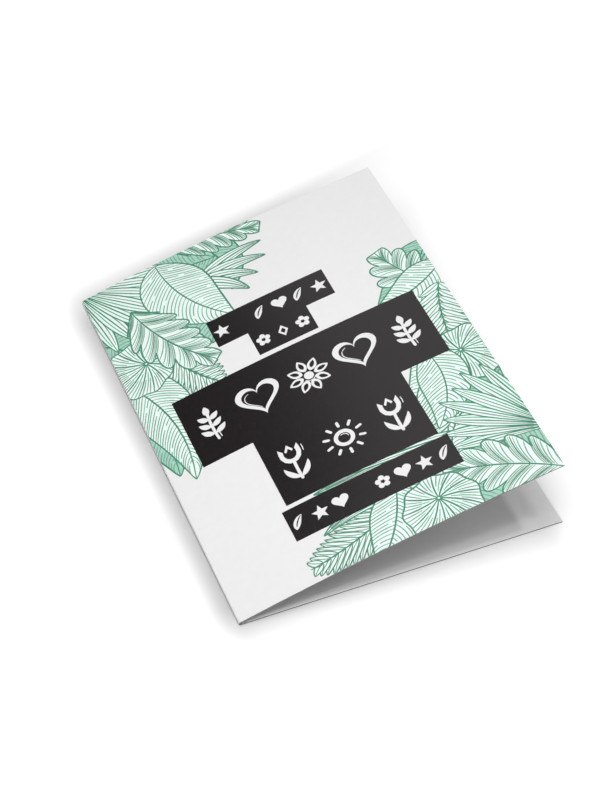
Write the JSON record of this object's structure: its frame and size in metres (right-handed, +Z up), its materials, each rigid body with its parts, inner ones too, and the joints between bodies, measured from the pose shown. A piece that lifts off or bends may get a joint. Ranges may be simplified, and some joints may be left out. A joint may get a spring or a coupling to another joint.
{
  "type": "greeting card",
  "caption": "Portrait greeting card of stiff card stock, folded once along its left edge, lying on its back leaf with the bowed cover half raised.",
  "frame": {"origin": "middle of the footprint, on the surface that the back leaf lies on", "axes": "+Y runs up the card along the fold, +X from the fold to the free edges, +Z up through the raised cover"},
  "size_m": [0.104, 0.148, 0.0257],
  "materials": {
    "card_stock": "smooth matt white card with a faint satin sheen"
  },
  "bodies": {
    "root": {"folded_card": "card_stock"}
  },
  "joints": []
}
